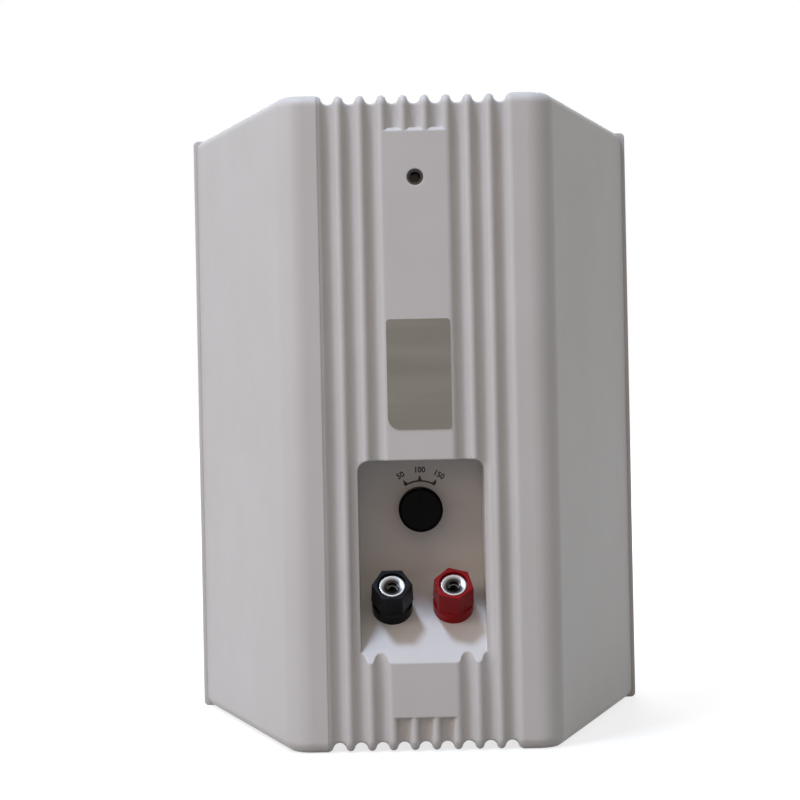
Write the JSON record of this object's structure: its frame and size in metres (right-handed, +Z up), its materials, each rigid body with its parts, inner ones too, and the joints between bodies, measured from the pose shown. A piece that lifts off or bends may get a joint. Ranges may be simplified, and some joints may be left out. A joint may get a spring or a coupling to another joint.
{
  "type": "wall speaker",
  "caption": "Two-way wall speaker in a tapered white cabinet with wrap-round flutes, front grille, bracket insert, and a rear pocket with a rotary selector and binding posts.",
  "frame": {"origin": "middle of the bottom of the whole cabinet", "axes": "+Z up, -Y the way the grille faces, +Y out of the fluted back"},
  "size_m": [0.214, 0.172, 0.28],
  "materials": {
    "white_abs": "fine moulded texture, satin white",
    "white_steel": "white painted perforated plate",
    "foil": "grey brushed foil",
    "black_plastic": "glossy black",
    "black_abs": "satin black",
    "red_plastic": "glossy red",
    "nickel": "bright nickel plate",
    "zinc_steel": "zinc plated steel",
    "dark_steel": "black coated steel",
    "brass": "plain turned brass",
    "foam": "closed-cell foam strip",
    "rubber": "black butyl rubber",
    "paper_cone": "coated black paper pulp",
    "spider_cloth": "resin-dipped cloth",
    "ferrite": "sintered dark grey",
    "copper_coil": "enamelled copper wire",
    "silk_dome": "coated dark cloth",
    "board": "brown laminate",
    "capacitor_film": "dark blue sleeve",
    "cement": "white cement body",
    "lamination": "stacked dark laminations"
  },
  "bodies": {
    "cabinet": {"rear_cabinet": "white_abs", "bracket_insert": "dark_steel", "rating_label": "foil", "baffle_gasket": "foam", "front_baffle": "white_abs", "baffle_screws": "zinc_steel", "front_grille": "white_steel", "woofer_basket": "dark_steel", "woofer_trim": "rubber", "woofer_surround": "rubber", "woofer_spider": "spider_cloth", "woofer_top_plate": "zinc_steel", "woofer_magnet": "ferrite", "woofer_back_plate": "zinc_steel", "woofer_screws": "dark_steel", "tweeter_faceplate": "black_abs", "tweeter_dome": "silk_dome", "tweeter_top_plate": "zinc_steel", "tweeter_magnet": "ferrite", "tweeter_back_plate": "zinc_steel", "tweeter_screws": "dark_steel", "crossover_board": "board", "crossover_inductor": "copper_coil", "crossover_capacitors": "capacitor_film", "crossover_resistor": "cement", "crossover_screws": "zinc_steel", "transformer_core": "lamination", "transformer_coil": "copper_coil", "transformer_strap": "zinc_steel", "transformer_screws": "zinc_steel", "selector_switch": "black_abs", "selector_bush": "brass", "selector_washer": "zinc_steel", "selector_nut": "nickel", "selector_lugs": "brass", "black_collar": "black_plastic", "black_post": "nickel", "black_washer": "black_abs", "black_tag": "brass", "black_nut": "nickel", "red_collar": "red_plastic", "red_post": "nickel", "red_washer": "black_abs", "red_tag": "brass", "red_nut": "nickel"},
    "selector_turn_body": {"selector_knob": "black_abs", "selector_shaft": "zinc_steel"},
    "woofer_moving": {"woofer_cone": "paper_cone", "woofer_dust_cap": "paper_cone", "woofer_voice_coil": "copper_coil"},
    "black_clamp_body": {"black_clamp": "nickel"},
    "black_cap_body": {"black_cap": "black_plastic", "black_sleeve": "nickel"},
    "red_clamp_body": {"red_clamp": "nickel"},
    "red_cap_body": {"red_cap": "red_plastic", "red_sleeve": "nickel"}
  },
  "joints": [
    {"name": "selector_turn", "type": "hinge", "parent": "cabinet", "child": "selector_turn_body", "pos_m": [0, 0.0645, 0.1018], "axis": [0, 1, 0], "range_deg": [-30, 30]},
    {"name": "cone_travel", "type": "slide", "parent": "cabinet", "child": "woofer_moving", "axis": [0, 1, 0], "range_m": [-0.004, 0.004], "stiffness_N_per_m": 2100, "deforming": ["woofer_surround", "woofer_spider"]},
    {"name": "black_cap_lift", "type": "slide", "parent": "cabinet", "child": "black_clamp_body", "axis": [0, 0.7519, 0.6592], "range_m": [0, 0.0041]},
    {"name": "black_cap_turn", "type": "hinge", "parent": "black_clamp_body", "child": "black_cap_body", "pos_m": [0.0132, 0.07507, 0.06665], "axis": [0, 0.7519, 0.6592], "range_deg": [0, 1440]},
    {"name": "red_cap_lift", "type": "slide", "parent": "cabinet", "child": "red_clamp_body", "axis": [0, 0.7519, 0.6592], "range_m": [0, 0.0041]},
    {"name": "red_cap_turn", "type": "hinge", "parent": "red_clamp_body", "child": "red_cap_body", "pos_m": [-0.0132, 0.07507, 0.06665], "axis": [0, 0.7519, 0.6592], "range_deg": [0, 1440]}
  ],
  "couplings": [
    {"joint": "black_cap_lift", "follows": "black_cap_turn", "m_per_rad": 0.00015915},
    {"joint": "red_cap_lift", "follows": "red_cap_turn", "m_per_rad": 0.00015915}
  ]
}
